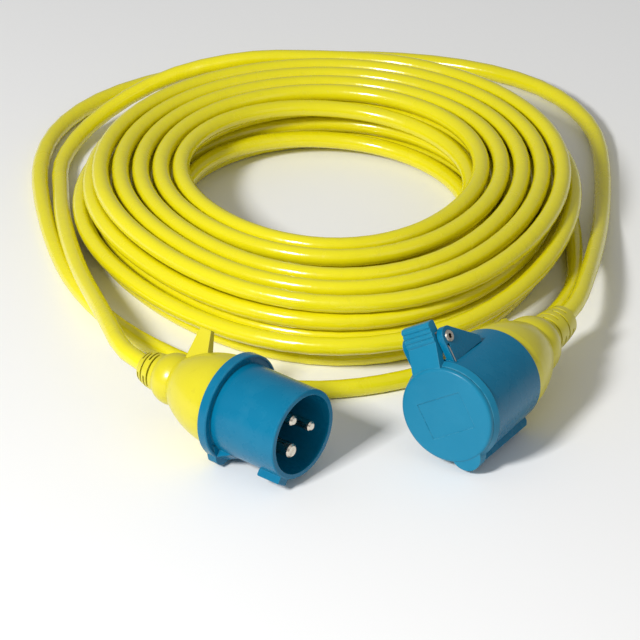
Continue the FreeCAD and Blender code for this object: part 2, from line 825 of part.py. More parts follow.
def make_lid():
    """Lid disc with its skirt, locking tab, arm, thumb lever and hinge knuckle."""
    body = new_body("lid")
    turn(body, "disc", [
        (0, 0),
        (0, s.lid_face_radius - s.lid_round, s.lid_round * round(1 - math.sqrt(0.5), 6)),
        (s.lid_round, s.lid_face_radius),
        (s.lid_depth, s.lid_skirt_radius),
        (s.lid_depth, 0),
    ])
    round_prism(body, "tab", "YZ_Plane", (0, s.tab_radius - s.tab_reach), s.tab_radius,
                s.lid_depth - s.edge_bevel, start=s.edge_bevel)
    half = s.arm_width / 2
    prism(body, "arm", "XZ_Plane", arm_outline(), s.arm_width, both_ways=True)
    knuckle_bottom = s.hinge_height - s.knuckle_radius
    knuckle_top = s.hinge_height + s.knuckle_radius
    prism(body, "knuckle_link", "XZ_Plane", [
        (arm_rear - s.arm_overlap, knuckle_bottom),
        (s.hinge_back, knuckle_bottom),
        (s.hinge_back, knuckle_top),
        (arm_rear - s.arm_overlap, knuckle_top),
    ], s.knuckle_width, start=-half)
    centre = (s.hinge_back, s.hinge_height)
    round_prism(body, "knuckle", "XZ_Plane", centre, s.knuckle_radius, s.knuckle_width, start=-half)
    round_prism(body, "recess", "YZ_Plane", (0, 0), lid_bore, s.lid_depth - s.lid_plate + s.cut_margin,
                start=s.lid_plate, cut=True)
    across = s.arm_width + s.cut_margin * 2
    round_prism(body, "rivet_bore", "XZ_Plane", centre, hole_radius, across, cut=True, both_ways=True)
    wide = s.lid_panel_width / 2
    high = s.lid_panel_height / 2
    prism(body, "panel", "YZ_Plane", [
        (-wide, -high),
        (wide, -high),
        (wide, high),
        (-wide, high),
    ], s.lid_panel_depth + s.cut_margin, start=-s.cut_margin, cut=True)
    return body


LEVER_RIDGES = 4


def arm_outline():
    """Side view of the arm, which leans back from the lid, and of the thumb lever with its ridged face."""
    step = s.lever_height / LEVER_RIDGES
    root = s.lid_face_radius * 2 / 3
    top = s.lever_bottom + s.lever_height
    lever_rear = s.lever_back + s.lever_depth
    over_spring = s.hinge_height + s.spring_radius + s.spring_wire
    corners = [
        (s.arm_setback, root),
        (s.arm_setback, s.arm_foot),
        (s.lever_back, s.lever_bottom - s.lever_round),
    ]
    for index in range(LEVER_RIDGES):
        crest = s.lever_back + s.lever_lean * index - s.lever_ridge / 2
        ridge_bottom = s.lever_bottom + step * index
        corners.append((crest, ridge_bottom))
        corners.append((crest, ridge_bottom + step / 2))
        corners.append((crest + s.lever_ridge, ridge_bottom + step * 3 / 4))
    corners += [
        (s.lever_back + s.lever_lean * LEVER_RIDGES + s.lever_ridge, top),
        (lever_rear - s.lever_round, top),
        (lever_rear, top - s.lever_round),
        (lever_rear, over_spring),
        (arm_rear, over_spring),
        (arm_rear, s.hinge_height - s.knuckle_radius),
        (s.lid_depth, housing_radius + s.arm_clearance),
        (s.lid_depth, root),
    ]
    return corners


def make_lid_gasket():
    """Rubber ring in the lid that presses on the housing's rim."""
    body = new_body("lid_gasket")
    outer = lid_bore - s.fit_gap
    front = s.lid_plate + s.fit_gap
    rear = housing_front - s.fit_gap
    turn(body, "ring", [
        (front, outer - s.gasket_width),
        (front, outer),
        (rear - s.gasket_round, outer),
        (rear, outer - s.gasket_round),
        (rear, outer - s.gasket_width + s.gasket_round),
        (rear - s.gasket_round, outer - s.gasket_width),
    ])
    return body


def make_hinge_pin():
    """Tubular rivet on its own axis, flared over both ears."""
    body = new_body("hinge_pin")
    inner = ear_outer + s.running_gap
    outer = inner + s.rivet_head_length
    turn(body, "rivet", [
        (-outer, s.rivet_bore),
        (-outer, s.rivet_head_radius - s.rivet_head_round),
        (-inner, s.rivet_head_radius),
        (-inner, s.rivet_radius),
        (inner, s.rivet_radius),
        (inner, s.rivet_head_radius),
        (outer, s.rivet_head_radius - s.rivet_head_round),
        (outer, s.rivet_bore),
    ])
    return body


# Wires and cable


CORNER_SHARE = 0.45


def round_corners(points):
    """Straight runs joined by tangent arcs, each arc as large as its two runs allow."""
    edges = []
    radii = []
    here = points[0]
    for before, corner, after in zip(points, points[1:], points[2:]):
        back = (before - corner)
        ahead = (after - corner)
        shorter = min(back.Length, ahead.Length)
        turn_angle = math.pi - back.getAngle(ahead)
        cut = CORNER_SHARE * shorter
        radius = cut / math.tan(turn_angle / 2)
        radii.append(radius)
        back.normalize()
        ahead.normalize()
        middle = (back + ahead).normalize() * (radius / math.cos(turn_angle / 2) - radius)
        start = corner + back * cut
        end = corner + ahead * cut
        edges.append(Part.LineSegment(here, start).toShape())
        edges.append(Part.Arc(start, corner + middle, end).toShape())
        here = end
    edges.append(Part.LineSegment(here, points[-1]).toShape())
    return edges, radii


def biarc(start, heading, end, end_heading):
    """Two arcs that leave start along heading and reach end along end_heading."""
    chord = end - start
    both = heading + end_heading
    split = 2 * (1 - heading.dot(end_heading))
    reach = -chord.dot(both) + math.sqrt(chord.dot(both) ** 2 + split * chord.dot(chord))
    reach = reach / split
    joint = (start + end + (heading - end_heading) * reach) * 0.5
    arcs = []
    radii = []
    halves = ((start, start + heading * reach, joint), (joint, end - end_heading * reach, end))
    for first, corner, last in halves:
        back = (first - corner).normalize()
        ahead = (last - corner).normalize()
        half_turn = (math.pi - back.getAngle(ahead)) / 2
        radius = (first - corner).Length / math.tan(half_turn)
        middle = corner + (back + ahead).normalize() * (radius / math.cos(half_turn) - radius)
        arcs.append(Part.Arc(first, middle, last).toShape())
        radii.append(radius)
    return arcs, radii


def sweep_tube(edges, radius):
    """A solid round tube along the edges, and its length."""
    wire = Part.Wire(edges)
    first = edges[0]
    heading = first.tangentAt(first.FirstParameter)
    start = first.valueAt(first.FirstParameter)
    profile = Part.Wire(Part.makeCircle(radius, start, heading))
    shell = Part.BRepOffsetAPI.MakePipeShell(wire)
    shell.add(profile)
    shell.build()
    shell.makeSolid()
    return shell.shape(), wire.Length


def report_tube(name, solid, length, radius, radii):
    """Prints how a tube's volume compares with its section times its length, and its tightest arc."""
    ratio = solid.Volume / (math.pi * radius ** 2 * length)
    print(f"{name}: length {length:.1f}, volume ratio {ratio:.5f}, least radius {min(radii):.1f}")


def add_shape(name, solid):
    """Adds a piece whose shape is made directly."""
    piece = doc.addObject("Part::Feature", name)
    piece.Label = name
    piece.Shape = solid
    return piece


def make_core(name, barrel, gather, end):
    """One insulated core, from its crimp barrel in to the cable, drawn above the axis."""
    out = SIZES["pin_circle_radius"]
    near = SIZES["core_spread"]
    start = barrel + SIZES["fit_gap"]
    bend = barrel + SIZES["core_straight"]
    points = [V(start, 0, out), V(bend, 0, out), V(gather, 0, near), V(end, 0, near)]
    edges, radii = round_corners(points)
    solid, length = sweep_tube(edges, SIZES["core_diameter"] / 2)
    report_tube(name, solid, length, SIZES["core_diameter"] / 2, radii)
    return add_shape(name, solid)


def make_hinge_spring():
    """Torsion spring round the rivet: a leg down the outside of one ear, through it, and its turns inside."""
    radius = SIZES["spring_radius"]
    front = SIZES["hinge_back"] - radius
    height = SIZES["hinge_height"]
    hole = height - SIZES["spring_hole_drop"]
    outside = -(ear_outer.value - SIZES["spring_wire"] / 2)
    inside = -(ear_inner.value - SIZES["spring_wire"])
    leg = [V(front, outside, hole - SIZES["spring_leg"]), V(front, outside, hole), V(front, inside, hole),
           V(front, inside, height)]
    edges, radii = round_corners(leg)

    def place(degrees):
        angle = math.radians(degrees)
        along = inside + SIZES["spring_pitch"] * max(degrees, 0) / 360
        return V(SIZES["hinge_back"] - radius * math.cos(angle), along, height + radius * math.sin(angle))

    def heading(degrees):
        if degrees == 0:
            return V(0, 0, 1)
        return (place(degrees + 1) - place(degrees - 1)).normalize()

    quarters = round(SIZES["spring_turns"] * 4)
    for index in range(quarters):
        start, end = index * 90, index * 90 + 90
        arcs, bends = biarc(place(start), heading(start), place(end), heading(end))
        edges += arcs
        radii += bends
    last = place(quarters * 90)
    edges.append(Part.LineSegment(last, last + heading(quarters * 90) * SIZES["spring_tail"]).toShape())
    solid, length = sweep_tube(edges, SIZES["spring_wire"] / 2)
    report_tube("hinge_spring", solid, length, SIZES["spring_wire"] / 2, radii)
    return add_shape("hinge_spring", solid)


# The coil runs anticlockwise seen from above: in, up a layer, out, up, in, up and out again.
LAYERS = 4
BULGE_SHARPNESS = 8
TURNS_PER_LAYER = 5
QUARTER = 90
CLIMB = 180
LAYER_SWEEP = TURNS_PER_LAYER * 360 + CLIMB
COIL_SWEEP = LAYER_SWEEP * LAYERS - CLIMB - QUARTER
FLOOR_HEIGHT = SIZES["cable_diameter"] / 2 + SIZES["floor_gap"]


def coil_depth(degrees):
    """How many turns inside the outermost one the cable is: it swings between the two edges of the coil."""
    swing = TURNS_PER_LAYER + CLIMB / 360
    position = (degrees / 360 + CLIMB / 720) % (2 * swing)
    return min(position, 2 * swing - position) - CLIMB / 720


def coil_height(degrees):
    """Height of the cable's centre: it climbs a layer in each half turn where the spiral reverses."""
    climbed = 0
    for layer in range(1, LAYERS):
        share = (degrees - layer * LAYER_SWEEP + CLIMB) / CLIMB
        share = min(max(share, 0), 1)
        climbed += (1 - math.cos(math.pi * share)) / 2
    return FLOOR_HEIGHT + climbed * (SIZES["cable_diameter"] + SIZES["coil_layer_gap"])


def coil_place(degrees):
    """A point of the coil's centre line. The turns spread out to the front, each a little unlike the last."""
    depth = coil_depth(degrees)
    off_front = math.radians(degrees - SIZES["coil_front_angle"])
    front = ((1 + math.cos(off_front)) / 2) ** BULGE_SHARPNESS
    loose = SIZES["coil_looseness"] * math.sin(2.4 * degrees / 360)
    radius = SIZES["coil_outer_radius"] - SIZES["coil_turn_pitch"] * depth
    radius += (SIZES["coil_front_bulge"] - SIZES["coil_front_drop"] * depth + loose) * front
    angle = math.radians(degrees)
    return V(SIZES["coil_x"] + radius * math.cos(angle), SIZES["coil_y"] + radius * math.sin(angle),
             coil_height(degrees))


def coil_heading(degrees):
    """Direction of the coil. Its two ends lie square to the axes, where the free stretches meet it."""
    if degrees == 0:
        return V(0, 1, 0)
    if degrees == COIL_SWEEP:
        return V(-1, 0, 0)
    return (coil_place(degrees + 2) - coil_place(degrees - 2)).normalize()


CELL = 12


def least_gap(edges, radius, step):
    """Least gap between stretches of a tube that are at least a third of a turn apart."""
    points = []
    for edge in edges:
        count = max(2, round(edge.Length / step))
        points += edge.discretize(Number=count)[:-1]
    skip = round(SIZES["coil_outer_radius"] * 2 / step)
    cells = {}
    for index, point in enumerate(points):
        cell = tuple(int(place // CELL) for place in point)
        cells.setdefault(cell, []).append((index, point))
    least = 1000.0
    for (x, y, z), members in cells.items():
        near = []
        for dx in (-1, 0, 1):
            for dy in (-1, 0, 1):
                for dz in (-1, 0, 1):
                    near += cells.get((x + dx, y + dy, z + dz), [])
        for index, point in members:
            for other, spot in near:
                if other - index > skip:
                    least = min(least, (spot - point).Length)
    return least - 2 * radius


def make_cable_coil():
    """The coiled cable: one tube whose ends run straight for one diameter."""
    diameter = SIZES["cable_diameter"]
    first = coil_place(0)
    last = coil_place(COIL_SWEEP)
    edges = [Part.LineSegment(first - coil_heading(0) * diameter, first).toShape()]
    radii = []
    for start in range(0, COIL_SWEEP, QUARTER):
        end = start + QUARTER
        arcs, bends = biarc(coil_place(start), coil_heading(start), coil_place(end), coil_heading(end))
        edges += arcs
        radii += bends
    edges.append(Part.LineSegment(last, last + coil_heading(COIL_SWEEP) * diameter).toShape())
    solid, length = sweep_tube(edges, diameter / 2)
    report_tube("cable_coil", solid, length, diameter / 2, radii)
    print(f"cable_coil: least gap to itself {least_gap(edges, diameter / 2, 2.0):.2f}")
    return add_shape("cable_coil", solid)


def by_coil(x, y, z):
    """A point of the cable's route that lies this far from the middle of the coil."""
    return V(SIZES["coil_x"] + x, SIZES["coil_y"] + y, z)


def make_free_run(name, points):
    """A free stretch of the cable along hand-chosen points."""
    edges, radii = round_corners(points)
    radius = SIZES["cable_diameter"] / 2
    solid, length = sweep_tube(edges, radius)
    report_tube(name, solid, length, radius, radii)
    runs = [(after - before).Length for before, after in zip(points, points[1:])]
    print(f"{name}: runs {[round(run) for run in runs]}, radii {[round(bend) for bend in radii]}")
    return add_shape(name, solid)


def make_cable_plug_run(plug_place):
    """From inside the plug's strain relief, over the other stretch and up on to the end of the coil."""
    coil_end = coil_place(COIL_SWEEP) + coil_heading(COIL_SWEEP) * SIZES["cable_diameter"]
    straight = SIZES["cable_diameter"] * 1.4
    points = [
        plug_place.multVec(V(plug_cable_start.value, 0, 0)),
        plug_place.multVec(V(s.plug_length.value + straight, 0, 0)),
        V(-120.5, 57, 23),
        V(-128.5, 88, 18.5),
        V(-136.8, 118, 14.5),
        V(-144.8, 152, 12.5),
        V(-151.4, 191, 10),
        V(-154, 225, 6.5),
        by_coil(-141.5, 56.6, FLOOR_HEIGHT),
        by_coil(-125.5, 96.6, 9),
        by_coil(-88.5, 122.6, 22),
        V(-60, coil_end.y, coil_end.z),
        coil_end,
    ]
    return make_free_run("cable_plug_run", points)


def make_cable_connector_run(connector_place):
    """From inside the connector's strain relief, round the back of the coil and both fittings to its start."""
    coil_start = coil_place(0) - coil_heading(0) * SIZES["cable_diameter"]
    straight = SIZES["cable_diameter"] * 1.4
    points = [
        connector_place.multVec(V(connector_cable_start.value, 0, 0)),
        connector_place.multVec(V(s.connector_length.value + straight, 0, 0)),
        V(113.5, 111.4, 18),
        V(121, 154.4, 11),
        V(127, 199.4, FLOOR_HEIGHT),
        by_coil(146.5, 42, FLOOR_HEIGHT),
        by_coil(146, 94, FLOOR_HEIGHT),
        by_coil(125, 140, FLOOR_HEIGHT),
        by_coil(85, 168, FLOOR_HEIGHT),
        by_coil(33, 180, FLOOR_HEIGHT),
        by_coil(-23, 178, FLOOR_HEIGHT),
        by_coil(-76.5, 162, FLOOR_HEIGHT),
        by_coil(-121.5, 133.6, FLOOR_HEIGHT),
        by_coil(-146, 94.6, FLOOR_HEIGHT),
        by_coil(-152.5, 50.6, FLOOR_HEIGHT),
        V(-163, 212, FLOOR_HEIGHT),
        V(-154.4, 168, FLOOR_HEIGHT),
        V(-142, 127, FLOOR_HEIGHT),
        V(-121, 89, FLOOR_HEIGHT),
        V(-93.5, 59.4, FLOOR_HEIGHT),
        V(-63.5, 37.4, FLOOR_HEIGHT),
        V(-33.5, 25.4, FLOOR_HEIGHT),
        V(-3.5, 26.9, FLOOR_HEIGHT),
        V(26.5, 37.4, FLOOR_HEIGHT),
        V(65, 59.4, FLOOR_HEIGHT),
        V(95, 91.4, FLOOR_HEIGHT),
        V(110, 128, FLOOR_HEIGHT),
        V(coil_start.x, coil_start.y - 30, FLOOR_HEIGHT),
        coil_start,
    ]
    return make_free_run("cable_connector_run", points)


# Where everything goes


def contact_placement(degrees):
    """Moves a contact from its own axis to its place in a carrier."""
    y, z = contact_centre(degrees)
    return FreeCAD.Placement(V(0, y.value, z.value), FreeCAD.Rotation())


def turned(degrees):
    """Turns a piece drawn above the axis round to a contact's side."""
    return FreeCAD.Placement(V(0, 0, 0), FreeCAD.Rotation(V(1, 0, 0), degrees))


def fitting_place(side):
    """Where a fitting's mouth or lid face is on the floor: side is -1 for the plug and 1 for the connector."""
    x = SIZES["fitting_middle_x"] + side * SIZES["fitting_spacing"] / 2
    y = SIZES["fitting_middle_y"] + side * SIZES["fitting_stagger"] / 2
    return x, y


def plug_placement():
    """The plug lies on its flange."""
    rotation = FreeCAD.Rotation(SIZES["plug_yaw"], 0, SIZES["plug_roll"])
    x, y = fitting_place(-1)
    return FreeCAD.Placement(V(x, y, SIZES["flange_radius"]), rotation)


def connector_placement():
    """The connector lies on the rear end of its rib."""
    rotation = FreeCAD.Rotation(SIZES["connector_yaw"], SIZES["connector_pitch"], SIZES["connector_roll"])
    corners = [V(rib_rear.value, side * rib_half_width.value, -rib_reach.value) for side in (-1, 1)]
    height = -min(rotation.multVec(corner).z for corner in corners)
    x, y = fitting_place(1)
    return FreeCAD.Placement(V(x, y, height), rotation)


def main():
    plug_place = plug_placement()
    connector_place = connector_placement()
    pieces = []
    for piece in (make_plug_shroud(), make_plug_contact_carrier(), make_plug_overmould()):
        piece.Placement = plug_place
        pieces.append(piece)
    connector_pieces = (
        make_connector_housing(),
        make_connector_contact_cover(),
        make_connector_contact_carrier(),
        make_connector_overmould(),
        make_sleeve_springs(),
        make_lid(),
        make_lid_gasket(),
        make_hinge_spring(),
    )
    for piece in connector_pieces:
        piece.Placement = connector_place
        pieces.append(piece)
    pin = make_hinge_pin()
    across = FreeCAD.Rotation(V(1, 0, 0), V(0, 1, 0))
    axis_place = V(SIZES["hinge_back"], 0, SIZES["hinge_height"])
    pin.Placement = connector_place * FreeCAD.Placement(axis_place, across)
    pieces.append(pin)

    plug_barrel = spigot_rear.value + SIZES["fit_gap"] + SIZES["collar_length"]
    sleeve_barrel = boss_rear.value + SIZES["fit_gap"] + SIZES["collar_length"]
    for name in PLUG_CONTACTS:
        plug_pin = make_plug_pin(name)
        plug_pin.Placement = plug_place * contact_placement(PLUG_CONTACTS[name])
        sleeve = make_connector_sleeve(name)
        sleeve.Placement = connector_place * contact_placement(CONNECTOR_CONTACTS[name])
        plug_core = make_core(f"plug_core_{name}", plug_barrel, waist_x.value, plug_cable_start.value)
        plug_core.Placement = plug_place * turned(PLUG_CONTACTS[name])
        core = make_core(f"connector_core_{name}", sleeve_barrel, bell_rear.value, connector_cable_start.value)
        core.Placement = connector_place * turned(CONNECTOR_CONTACTS[name])
        pieces += [plug_pin, sleeve, plug_core, core]

    pieces.append(make_cable_coil())
    pieces.append(make_cable_plug_run(plug_place))
    pieces.append(make_cable_connector_run(connector_place))
    doc.recompute()

    for item in doc.Objects:
        if "Invalid" in item.State or "Error" in item.State:
            raise RuntimeError(f"{item.Name} is {item.State}")
    for piece in pieces:
        if piece.Shape.isNull() or not piece.Shape.isValid() or not piece.Shape.Solids:
            raise RuntimeError(f"{piece.Label} has no valid solid")
    for piece in pieces:
        piece.Shape.exportStep(f"parts/{piece.Label}.step")
    print(f"{len(pieces)} nodes written")


main()
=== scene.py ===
import math

import bpy
from mathutils import Euler, Matrix, Vector


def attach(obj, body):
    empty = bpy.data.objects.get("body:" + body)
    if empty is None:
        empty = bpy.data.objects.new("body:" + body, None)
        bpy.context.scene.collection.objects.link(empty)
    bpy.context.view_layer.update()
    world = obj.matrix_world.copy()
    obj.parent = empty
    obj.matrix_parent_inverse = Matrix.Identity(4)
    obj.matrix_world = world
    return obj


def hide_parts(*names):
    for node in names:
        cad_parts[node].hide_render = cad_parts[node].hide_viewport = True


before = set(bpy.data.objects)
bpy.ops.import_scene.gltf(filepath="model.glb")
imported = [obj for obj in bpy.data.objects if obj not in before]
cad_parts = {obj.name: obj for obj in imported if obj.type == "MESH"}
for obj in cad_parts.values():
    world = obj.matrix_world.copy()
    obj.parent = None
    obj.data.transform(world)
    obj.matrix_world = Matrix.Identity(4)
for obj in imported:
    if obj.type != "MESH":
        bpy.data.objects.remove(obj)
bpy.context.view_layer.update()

# Sizes in metres and angles in degrees, the same as in the part's source
CABLE = 0.0088
CABLE_GRIP = 0.0165
STRAIGHT_EXIT = CABLE * 1.4
PLUG_REAR = 0.097
CONNECTOR_REAR = 0.116
FLOOR_GAP = 0.0001
FLOOR_HEIGHT = CABLE / 2 + FLOOR_GAP


# Where the two fittings lie


def fitting(place, yaw, pitch, roll):
    """A fitting's own frame: x runs back from its mouth and z points to its fin side."""
    turns = Euler((math.radians(roll), math.radians(pitch), math.radians(yaw)), "XYZ")
    return Matrix.Translation(place) @ turns.to_matrix().to_4x4()


PLUG = fitting((-0.0265, -0.0496, 0.026), 140.5, 0.0, 35.0)
CONNECTOR = fitting((0.0395, -0.037, 0.0282938), 59.2, 3.2, -31.5)


def on_axis(place, along):
    """A point on a fitting's axis."""
    return place @ Vector((along, 0.0, 0.0))


# Camera

CAMERA_PLACE = (-0.0187, -1.581, 0.971)
CAMERA_TILT = 60.0
CAMERA_LENS = 220.3
CAMERA_SENSOR = 36.0
NEAREST_SEEN = 0.05
FARTHEST_SEEN = 60.0


def make_camera():
    """The photograph's viewpoint, in front of the two fittings and thirty degrees above them."""
    data = bpy.data.cameras.new("camera")
    data.sensor_width = CAMERA_SENSOR
    data.lens = CAMERA_LENS
    data.clip_start = NEAREST_SEEN
    data.clip_end = FARTHEST_SEEN
    camera = bpy.data.objects.new("camera", data)
    camera.location = CAMERA_PLACE
    camera.rotation_euler = (math.radians(CAMERA_TILT), 0.0, 0.0)
    bpy.context.collection.objects.link(camera)
    bpy.context.scene.camera = camera


# Cable

LAYERS = 4
TURNS_PER_LAYER = 5
QUARTER = 90
CLIMB = 180
LAYER_SWEEP = TURNS_PER_LAYER * 360 + CLIMB
COIL_SWEEP = LAYER_SWEEP * LAYERS - CLIMB - QUARTER
COIL_CENTRE = (-0.0156, 0.2054)
COIL_OUTER = 0.1264
COIL_TURN_PITCH = 0.01036
COIL_LAYER_GAP = 0.0005
COIL_FRONT_BULGE = 0.033
COIL_FRONT_DROP = 0.0049
COIL_LOOSENESS = 0.0022
COIL_WANDER = 2.4
COIL_FRONT_ANGLE = -82.0
BULGE_SHARPNESS = 8
COIL_STEP = 15
LAST_RUN = 0.03
CABLE_ROUNDNESS = 7
CABLE_FINENESS = 3


def coil_depth(degrees):
    """How many turns inside the outermost one the cable is."""
    swing = TURNS_PER_LAYER + CLIMB / 360
    position = (degrees / 360 + CLIMB / 720) % (2 * swing)
    return min(position, 2 * swing - position) - CLIMB / 720


def coil_height(degrees):
    """Height of the cable's centre: it climbs a layer in each half turn where the spiral reverses."""
    climbed = 0.0
    for layer in range(1, LAYERS):
        share = (degrees - layer * LAYER_SWEEP + CLIMB) / CLIMB
        share = min(max(share, 0.0), 1.0)
        climbed += (1 - math.cos(math.pi * share)) / 2
    return FLOOR_HEIGHT + climbed * (CABLE + COIL_LAYER_GAP)


def coil_place(degrees, spread=1.0):
    """A point of the coil's centre line. Its turns spread out to the front, no two quite alike."""
    depth = coil_depth(degrees)
    off_front = math.radians(degrees - COIL_FRONT_ANGLE)
    front = ((1 + math.cos(off_front)) / 2) ** BULGE_SHARPNESS
    loose = COIL_LOOSENESS * math.sin(COIL_WANDER * degrees / 360)
    radius = COIL_OUTER - COIL_TURN_PITCH * depth
    radius += (COIL_FRONT_BULGE - COIL_FRONT_DROP * depth + loose) * front
    radius *= spread
    angle = math.radians(degrees)
    x, y = COIL_CENTRE
    return Vector((x + radius * math.cos(angle), y + radius * math.sin(angle), coil_height(degrees)))


def by_coil(x, y, z):
    """A point of the cable's route that lies this far from the middle of the coil."""
    return (COIL_CENTRE[0] + x, COIL_CENTRE[1] + y, z)


def connector_run():
    """From inside the connector's strain relief, round behind the coil and in front of it to its start."""
    start = coil_place(0)
    return [
        on_axis(CONNECTOR, CONNECTOR_REAR - CABLE_GRIP),
        on_axis(CONNECTOR, CONNECTOR_REAR + STRAIGHT_EXIT),
        (0.1135, 0.1114, 0.018),
        (0.121, 0.1544, 0.011),
        (0.127, 0.1994, FLOOR_HEIGHT),
        by_coil(0.1465, 0.042, FLOOR_HEIGHT),
        by_coil(0.146, 0.094, FLOOR_HEIGHT),
        by_coil(0.125, 0.14, FLOOR_HEIGHT),
        by_coil(0.085, 0.168, FLOOR_HEIGHT),
        by_coil(0.033, 0.18, FLOOR_HEIGHT),
        by_coil(-0.023, 0.178, FLOOR_HEIGHT),
        by_coil(-0.0765, 0.162, FLOOR_HEIGHT),
        by_coil(-0.1215, 0.1336, FLOOR_HEIGHT),
        by_coil(-0.146, 0.0946, FLOOR_HEIGHT),
        by_coil(-0.1525, 0.0506, FLOOR_HEIGHT),
        (-0.163, 0.212, FLOOR_HEIGHT),
        (-0.1544, 0.168, FLOOR_HEIGHT),
        (-0.142, 0.127, FLOOR_HEIGHT),
        (-0.121, 0.089, FLOOR_HEIGHT),
        (-0.0935, 0.0594, FLOOR_HEIGHT),
        (-0.0635, 0.0374, FLOOR_HEIGHT),
        (-0.0335, 0.0254, FLOOR_HEIGHT),
        (-0.0035, 0.0269, FLOOR_HEIGHT),
        (0.0265, 0.0374, FLOOR_HEIGHT),
        (0.065, 0.0594, FLOOR_HEIGHT),
        (0.095, 0.0914, FLOOR_HEIGHT),
        (0.11, 0.128, FLOOR_HEIGHT),
        (start.x, start.y - CABLE - LAST_RUN, FLOOR_HEIGHT),
        (start.x, start.y - CABLE, FLOOR_HEIGHT),
    ]


def plug_run():
    """From the end of the coil down to the floor and up into the plug's strain relief."""
    end = coil_place(COIL_SWEEP)
    return [
        (end.x - CABLE, end.y, end.z),
        (-0.06, end.y, end.z),
        by_coil(-0.0885, 0.1226, 0.022),
        by_coil(-0.1255, 0.0966, 0.009),
        by_coil(-0.1415, 0.0566, FLOOR_HEIGHT),
        (-0.154, 0.225, 0.0065),
        (-0.1514, 0.191, 0.01),
        (-0.1448, 0.152, 0.0125),
        (-0.1368, 0.118, 0.0145),
        (-0.1285, 0.088, 0.0185),
        (-0.1205, 0.057, 0.023),
        on_axis(PLUG, PLUG_REAR + STRAIGHT_EXIT),
        on_axis(PLUG, PLUG_REAR - CABLE_GRIP),
    ]


def make_cable():
    """The whole cable as one smooth line: connector, free stretch, coil, free stretch, plug."""
    route = [Vector(point) for point in connector_run()]
    # A smooth line passes inside its points, so the coil's stand out by what the line cuts off.
    half_step = math.radians(COIL_STEP) / 2
    spread = 1 / math.cos(half_step)
    route += [coil_place(degrees, spread) for degrees in range(COIL_STEP, COIL_SWEEP, COIL_STEP)]
    route += [Vector(point) for point in plug_run()]
    data = bpy.data.curves.new("cable", "CURVE")
    data.dimensions = "3D"
    data.bevel_depth = CABLE / 2
    data.bevel_resolution = CABLE_ROUNDNESS
    data.resolution_u = CABLE_FINENESS
    data.use_fill_caps = True
    spline = data.splines.new("NURBS")
    spline.points.add(len(route) - 1)
    for point, place in zip(spline.points, route):
        point.co = (*place, 1.0)
    spline.order_u = 3
    spline.use_endpoint_u = True
    cable = bpy.data.objects.new("cable", data)
    bpy.context.collection.objects.link(cable)
    return cable


# Shader language

EDGE_SAMPLES = 4


class Shade:
    """A shader socket used like a number: each operator adds the Math node for it."""

    def __init__(self, tree, socket):
        self.tree = tree
        self.socket = socket

    def math(self, operation, *values):
        node = self.tree.nodes.new("ShaderNodeMath")
        node.operation = operation
        for slot, value in zip(node.inputs, values):
            if isinstance(value, Shade):
                self.tree.links.new(value.socket, slot)
            else:
                slot.default_value = value
        return Shade(self.tree, node.outputs[0])

    def __add__(self, other):
        return self.math("ADD", self, other)

    def __radd__(self, other):
        return self.math("ADD", other, self)

    def __sub__(self, other):
        return self.math("SUBTRACT", self, other)

    def __rsub__(self, other):
        return self.math("SUBTRACT", other, self)

    def __mul__(self, other):
        return self.math("MULTIPLY", self, other)

    def __rmul__(self, other):
        return self.math("MULTIPLY", other, self)

    def sine(self):
        return self.math("SINE", self)


